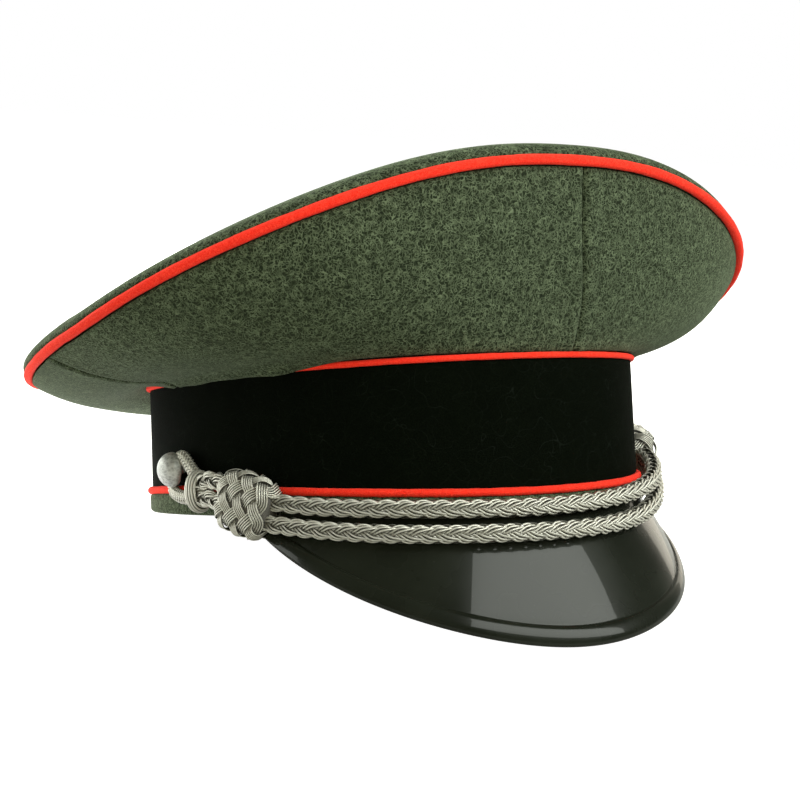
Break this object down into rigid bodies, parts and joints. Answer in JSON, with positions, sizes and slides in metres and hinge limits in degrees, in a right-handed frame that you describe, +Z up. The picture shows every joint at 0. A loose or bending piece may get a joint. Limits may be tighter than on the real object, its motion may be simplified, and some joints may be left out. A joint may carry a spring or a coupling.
{
  "type": "peaked cap",
  "caption": "Peaked cap with a saddle-shaped grey-green wool crown, dark velvet band, red piping, gloss black peak and double braided silver chin cord",
  "frame": {"origin": "centre of the bounding box in plan, on the surface that the cap stands on", "axes": "+Z up from the surface, -Y the way the peak points, -X towards the wearer's right"},
  "size_m": [0.2792, 0.278, 0.166],
  "materials": {
    "field_wool": "grey-green melange wool felt, short raised fibres",
    "red_wool": "bright red wool piping, slightly fuzzy",
    "band_velvet": "near-black green velvet, deep matt pile",
    "peak_gloss": "black lacquer, mirror-like gloss",
    "silver_braid": "twisted metallic thread, braided, softly shining",
    "button_metal": "pebbled silver-coloured metal"
  },
  "bodies": {
    "root": {"crown_top": "field_wool", "crown_front_right": "field_wool", "crown_front_left": "field_wool", "crown_back_right": "field_wool", "crown_back_left": "field_wool", "crown_piping": "red_wool", "upper_band_piping": "red_wool", "lower_band_piping": "red_wool", "band": "band_velvet", "rim_binding": "field_wool", "peak": "peak_gloss", "chin_cord_upper": "silver_braid", "chin_cord_lower": "silver_braid", "slide_knot_right": "silver_braid", "slide_knot_left": "silver_braid", "small_knot_right": "silver_braid", "small_knot_left": "silver_braid", "cord_loop_right": "silver_braid", "cord_loop_left": "silver_braid", "button_right": "button_metal", "button_left": "button_metal"}
  },
  "joints": []
}
